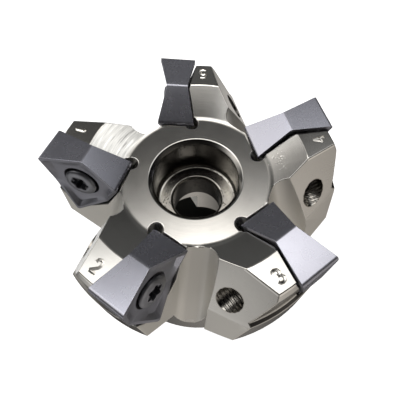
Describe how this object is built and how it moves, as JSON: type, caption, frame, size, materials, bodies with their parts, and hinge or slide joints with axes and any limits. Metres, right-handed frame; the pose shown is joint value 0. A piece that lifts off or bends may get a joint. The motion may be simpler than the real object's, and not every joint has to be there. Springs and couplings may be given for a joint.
{
  "type": "indexable face mill",
  "caption": "Face mill body with double-sided trigon inserts screwed into its teeth, a pilot bore, cross drive slots and a counterbored clamping hole.",
  "frame": {"origin": "on the cutter's axis, in the plane of the rear face that seats on the arbor", "axes": "+Z along the axis, from the rear face towards the cutting end; +X and +Y fixed by the tooth marked 1, which points along 162 degrees"},
  "size_m": [0.0627, 0.0612, 0.04],
  "materials": {
    "body_metal": "satin nickel-plated steel, turned and milled, with bright worn edges",
    "insert_coating": "dark coated carbide, ground flanks, satin",
    "screw_metal": "dark oxidised screw steel"
  },
  "bodies": {
    "root": {"cutter_body": "body_metal", "insert_1": "insert_coating", "insert_2": "insert_coating", "insert_3": "insert_coating", "insert_4": "insert_coating", "insert_5": "insert_coating", "insert_screw_1": "screw_metal", "insert_screw_2": "screw_metal", "insert_screw_3": "screw_metal", "insert_screw_4": "screw_metal", "insert_screw_5": "screw_metal"}
  },
  "joints": []
}
